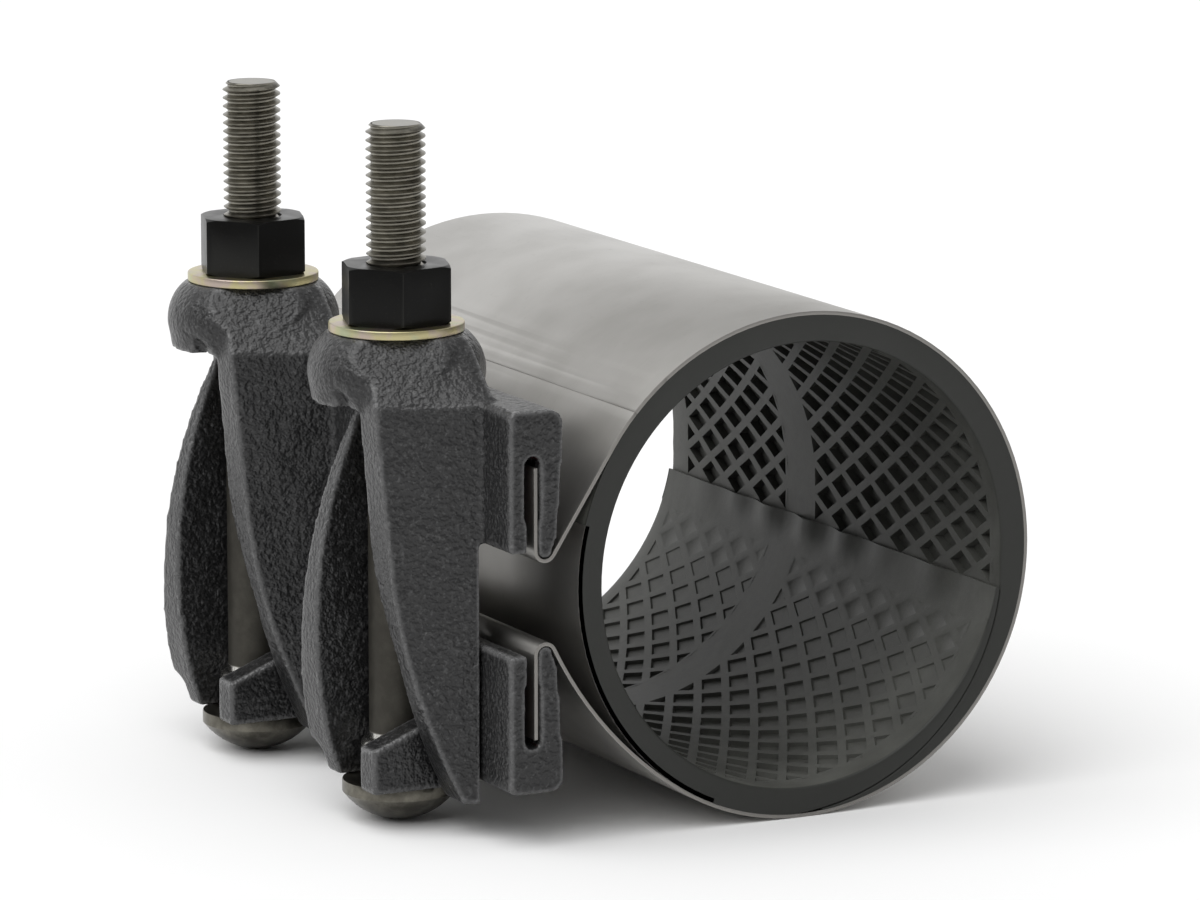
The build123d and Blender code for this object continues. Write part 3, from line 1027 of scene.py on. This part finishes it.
@dataclass
class WaffleGasket:
    """The rubber strip: moulded flat with its pockets, then rolled into a circle."""

    bore: float = field(init=False)
    wall: float = field(init=False)
    width: float = field(init=False)
    cells_around: int = 40
    flap_angle: float = -11.0
    tail_angle: float = -85.0
    lap_edge: float = 0.8 * MM
    lap_gap: float = 0.3 * MM
    fields: tuple[tuple[float, float, int], ...] = (
        (-91.5 * MM, 8.6 * MM, 6), (23.6 * MM, 85.6 * MM, 4),
    )
    skew: float = 5.0 * MM
    rib: float = 2.4 * MM
    draft: float = 0.3 * MM
    depth: float = 2.3 * MM
    fade: float = 1.5
    fade_power: float = 1.3
    least_depth: float = 0.05
    inner_reach: float = 0.8 * MM
    column_reach: float = 0.5
    side_reach: float = 0.1 * MM
    border_reach: float = 0.2 * MM
    straight: float = 0.4 * MM
    long: float = 1 * MM
    edge: float = 0.2 * MM
    inward: float = 0.7
    mouth_round: float = 0.8 * MM
    wave_grip: float = 2.2 * MM
    waves: tuple[Place, ...] = (
        (0.070, 0.7, 0.012), (0.053, 1.2, 0.008), (0.043, -0.5, 0.007), (0.032, 2.1, 0.010),
        (0.021, -0.7, 0.008), (0.010, 2.2, 0.010), (-0.001, -0.8, 0.008), (-0.011, 1.9, 0.010),
        (-0.022, -0.5, 0.008), (-0.034, 0.6, 0.009), (-0.060, 1.0, 0.012), (-0.074, -0.4, 0.010),
    )

    def build(self, finish: MouldedRubber, bore: float) -> None:
        """Models and dresses the gasket.

        Args:
            finish: the rubber's finish.
            bore: the radius of the bore, in metres.
        """
        low, high = (Vector(corner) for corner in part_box("gasket"))
        self.bore = bore
        self.wall = high.z - bore
        self.width = high.y - low.y
        piece = self.slab()
        self.taper_laps(piece)
        self.mould_pockets(piece)
        self.refine_plain_faces(piece)
        self.ruffle_flap(piece)
        ease(piece, self.edge, angle=32, segments=1)
        self.roll(piece)
        smooth(piece, angle=38)
        finish_piece(piece, finish.material(), "clamp", "rubber", "gasket")

    def sweep(self) -> float:
        """The whole strip's length round the pipe, in degrees."""
        return 360.0 + self.flap_angle - self.tail_angle

    def flat(self, angle: float) -> float:
        """Where an angle round the pipe lies along the flat strip."""
        return self.bore * radians(180.0 - angle)

    def columns(self) -> list[float]:
        """The strip's cross lines, as angles from the flap's edge to the tail's."""
        count = round(self.sweep() / 360.0 * self.cells_around)
        return [self.flap_angle + 360.0 - self.sweep() * line / count for line in range(count + 1)]

    def rows(self) -> list[float]:
        """The strip's long lines: its edges and the lines of the waffle fields."""
        lines = [-self.width / 2, self.width / 2]
        for low, high, cells in self.fields:
            lines += [low + (high - low) * line / cells for line in range(cells + 1)]
        return sorted(lines)

    def drift(self, along: float) -> float:
        """How far the mould's lines have drifted sideways at a place along the strip."""
        start, end = (self.flat(self.columns()[line]) for line in (0, -1))
        return self.skew * (end - along) / (end - start)

    def lap_thickness(self, share: float) -> float:
        """A lap's thickness at a share of the way from its edge to its root."""
        return self.lap_edge + (self.wall - 2 * self.lap_edge) * share

    def slab(self) -> Piece:
        """The flat strip, from a grid whose lines are set and then given its thickness."""
        columns, rows = self.columns(), self.rows()
        length = self.flat(columns[-1]) - self.flat(columns[0])
        bpy.ops.mesh.primitive_grid_add(
            x_subdivisions=len(columns) - 1, y_subdivisions=len(rows) - 1, size=1,
            rotation=(0, pi / 2, 0),
        )
        piece = new_piece("gasket_waffle")
        piece.scale = (length, self.width, 1)
        piece.location.z = (self.flat(columns[-1]) + self.flat(columns[0])) / 2
        settle(piece)
        with editing(piece, Pick.VERTS):
            mesh = bmesh.from_edit_mesh(piece.data)
            spacing = self.width / (len(rows) - 1)
            lines = [
                {
                    vert.index for vert in mesh.verts
                    if round((vert.co.y + self.width / 2) / spacing) == line
                }
                for line in range(len(rows))
            ]
            for line, (group, place) in enumerate(zip(lines, rows)):
                pick(piece, Pick.VERTS, lambda vert: vert.index in group)
                shift = place - (line * spacing - self.width / 2)
                move(0, shift, 0)
            for angle in columns:
                along = self.flat(angle)
                pick(piece, Pick.VERTS, lambda vert: abs(vert.co.z - along) < self.long
                     and abs(vert.co.y) < self.width / 2 - self.side_reach)
                move(0, self.drift(along), 0)
            bpy.ops.mesh.select_mode(type="FACE")
            everything()
            bpy.ops.mesh.extrude_region_move(TRANSFORM_OT_translate={"value": (-self.wall, 0, 0)})
            everything()
            bpy.ops.mesh.normals_make_consistent(inside=False)
        return piece

    def taper_laps(self, piece: Piece) -> None:
        """Thins the flap from outside and the tail from inside."""
        lap = self.flap_angle - self.tail_angle
        near = self.flat(180.0 - self.column_reach) - self.flat(180.0)
        with editing(piece, Pick.VERTS):
            for angle in self.columns():
                place = self.flat(angle)
                inner_share = (self.flap_angle + 360.0 - angle) / lap
                outer_share = (self.flap_angle - angle) / lap
                if inner_share < 1:
                    side, rise = -1, self.wall - self.lap_thickness(inner_share)
                elif outer_share > 0:
                    side, rise = 1, -self.lap_thickness(outer_share) - self.lap_gap
                else:
                    continue
                pick(piece, Pick.VERTS, lambda vert: abs(vert.co.z - place) < near
                     and side * (vert.co.x + self.wall / 2) > 0)
                move(rise, 0, 0)

    def in_waffle(self, point: Vector) -> bool:
        """Whether a point of the flat strip's inner face lies in a waffle field."""
        columns = self.columns()
        start = self.flat(columns[1])
        end = self.flat(columns[self.cells_around])
        across = point.y - self.drift(point.z)
        inside = any(low < across < high for low, high, _ in self.fields)
        return inside and start < point.z < end and point.x > -self.inner_reach

    def waffle_face(self, face: Face) -> bool:
        """Whether a face of the flat strip's inner side lies in a waffle field."""
        return self.in_waffle(middle(face)) and face.normal.x > SQUARE_ON

    def mould_pockets(self, piece: Piece) -> None:
        """Turns the waffle fields into diamonds and sinks a pocket in each."""

        def between_triangles(edge: Edge) -> bool:
            """Whether an edge of the first grid lies between two poked triangles."""
            span = edge.verts[1].co - edge.verts[0].co
            square = min(abs(span.y), abs(span.z)) < self.straight
            return square and all(len(face.verts) == 3 for face in edge.link_faces)

        with editing(piece):
            pick(piece, Pick.FACES, self.waffle_face)
            bpy.ops.mesh.poke()
            pick(piece, Pick.EDGES, between_triangles)
            bpy.ops.mesh.dissolve_edges(use_verts=False)
            pick(piece, Pick.FACES, self.waffle_face)
            bpy.ops.mesh.inset(use_individual=True, thickness=self.rib / 2, depth=0)
            bpy.ops.mesh.inset(use_individual=True, thickness=self.draft, depth=0)
            mesh = bmesh.from_edit_mesh(piece.data)
            floors: dict[float, set[int]] = {}
            for face in mesh.faces:
                if face.select:
                    floors.setdefault(self.pocket_depth(middle(face).z), set()).add(face.index)
            for depth, group in floors.items():
                pick(piece, Pick.FACES, lambda face: face.index in group)
                move(-depth, 0, 0)

    def pocket_depth(self, along: float) -> float:
        """A pocket's depth, which fades out towards the flap's thin edge."""
        lap = self.flap_angle - self.tail_angle
        angle = 180.0 - degrees(along / self.bore)
        share = (self.flap_angle + 360.0 - angle) / lap / self.fade
        return round(self.depth * max(min(share**self.fade_power, 1.0), self.least_depth), 6)

    def refine_plain_faces(self, piece: Piece) -> None:
        """Divides the plain faces along the strip, so that they roll up round."""
        borders = [line for low, high, _ in self.fields for line in (low, high)]

        def long_line(edge: Edge) -> bool:
            """Whether an edge runs along the strip on a plain face's border."""
            span = edge.verts[1].co - edge.verts[0].co
            if abs(span.y) > self.straight or abs(span.z) < self.long:
                return False
            point = middle(edge)
            across = point.y - self.drift(point.z)
            outside = all(not self.in_waffle(middle(face)) for face in edge.link_faces)
            return outside or min(abs(across - line) for line in borders) < self.border_reach

        def mouth(edge: Edge) -> bool:
            """Whether an edge is a long inner edge at the strip's side."""
            side = all(abs(vert.co.y) > self.width / 2 - self.side_reach for vert in edge.verts)
            inner = any(face.normal.x > self.inward for face in edge.link_faces)
            return side and inner and abs(edge.verts[0].co.z - edge.verts[1].co.z) > self.long

        with editing(piece, Pick.EDGES):
            pick(piece, Pick.EDGES, long_line)
            bpy.ops.mesh.subdivide(number_cuts=2, ngon=True)
            edge_line = self.flat(self.columns()[1])
            pick(piece, Pick.FACES, lambda face: middle(face).z < edge_line)
            bpy.ops.mesh.subdivide(number_cuts=3, ngon=True)
            pick(piece, Pick.EDGES, mouth)
            bpy.ops.mesh.bevel(offset=self.mouth_round, segments=3, affect="EDGES")

    def ruffle_flap(self, piece: Piece) -> None:
        """Lifts and sinks the flap's thin edge in soft waves."""
        edge_line = self.flat(self.columns()[0])
        with editing(piece, Pick.VERTS):
            for along, lift, reach in self.waves:
                pick(piece, Pick.VERTS, lambda vert: vert.co.z < edge_line + self.long
                     and abs(vert.co.y - along) < self.wave_grip)
                bpy.ops.transform.translate(
                    value=(lift * MM, 0, 0), use_proportional_edit=True,
                    proportional_edit_falloff="SMOOTH", proportional_size=reach,
                )

    def roll(self, piece: Piece) -> None:
        """Rolls the flat strip into its circle round the pipe's axis."""
        bend = {"deform_method": "BEND", "deform_axis": "Y", "angle": radians(self.sweep())}
        apply(piece, "SIMPLE_DEFORM", **bend)
        with editing(piece):
            everything()
            move(-self.bore, 0, 0)
        outward(piece)


@dataclass(frozen=True)
class Lamp:
    """A wide, soft lamp far away, in degrees across, and where its light comes from."""

    name: str
    strength: float
    spread: float
    source: Place

    def hang(self) -> None:
        """Puts the lamp into the scene."""
        lamp = bpy.data.lights.new(self.name, "SUN")
        lamp.energy = self.strength
        lamp.angle = radians(self.spread)
        holder = place_new(self.name, lamp)
        holder.rotation_euler = Vector(self.source).to_track_quat("Z", "Y").to_euler()


@dataclass
class Studio:
    """A pale floor, a pale backdrop's light, one soft key lamp and the camera."""

    floor_size: float = 16.0
    horizon: float = 0.10
    zenith: float = 0.60
    backdrop: float = 1.0
    sky_rise: Span = (0.0, 0.85)
    backdrop_rise: Span = (0.15, 0.9)
    backdrop_top: Span = (0.25, 0.7)
    lamps: tuple[Lamp, ...] = (
        Lamp("key", 2.1, 70.0, (-0.50, -0.16, 0.85)),
        Lamp("fill", 0.10, 60.0, (0.35, -0.85, 0.35)),
    )
    camera_place: Place = (-0.85275, -1.64518, 0.36767)
    camera_azimuth: float = -27.06
    camera_elevation: float = 10.77
    lens: float = 204.35
    sensor: float = 36.0
    sight: float = 60.0

    def build(self) -> None:
        """Sets the floor, the sky, the lamps and the camera."""
        self.floor()
        self.world()
        for lamp in self.lamps:
            lamp.hang()
        self.camera()

    def floor(self) -> None:
        """The floor, just under the lowest point."""
        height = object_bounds()[0][2]
        bpy.ops.mesh.primitive_plane_add(size=self.floor_size, location=(0, 0, height))
        floor = new_piece("floor")
        floor.data.materials.append(PaleFloor().material())
        floor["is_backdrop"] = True

    def world(self) -> None:
        """Soft light: bright overhead, dim from the front, pale from the backdrop."""
        bench = Bench(bpy.data.worlds.new("studio"))
        way = bench.node("TexCoord", out="Generated")
        _, back, up = bench.axes(way)
        sky = self.horizon + up.step(*self.sky_rise) * (self.zenith - self.horizon)
        behind = back.step(*self.backdrop_rise) * (1 - up.step(*self.backdrop_top)) * self.backdrop
        bpy.context.scene.world = bench.set(Color=(1.0, 1.0, 1.0), Strength=sky + behind)

    def camera(self) -> None:
        """The camera, a long lens at the front left."""
        lens = bpy.data.cameras.new("camera")
        lens.lens = self.lens
        lens.sensor_width = self.sensor
        lens.clip_end = self.sight
        holder = place_new("camera", lens)
        azimuth, elevation = radians(self.camera_azimuth), radians(self.camera_elevation)
        out = cos(elevation)
        back = Vector((sin(azimuth) * out, -cos(azimuth) * out, sin(elevation)))
        holder.location = self.camera_place
        holder.rotation_euler = (-back).to_track_quat("-Z", "Y").to_euler()
        bpy.context.scene.camera = holder


def main() -> None:
    """Builds the clamp's pieces in order, then the studio."""
    logging.basicConfig(level=logging.INFO, format="%(name)s: %(message)s")
    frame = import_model()
    nodes = frame["nodes"]
    bore = frame["record"]["mounts"][0]["dims"]["r_mm"] * MM
    CastLugs().build(nodes, CoatedCasting())
    Bolts().build(OiledSteel())
    NutsAndWashers().build(nodes, BlackedNut(), YellowZinc())
    SteelBand().build(nodes, MillStainless())
    WaffleGasket().build(MouldedRubber(), bore)
    Studio().build()
    bpy.context.scene.view_settings.view_transform = "Standard"


if __name__ == "__main__":
    main()
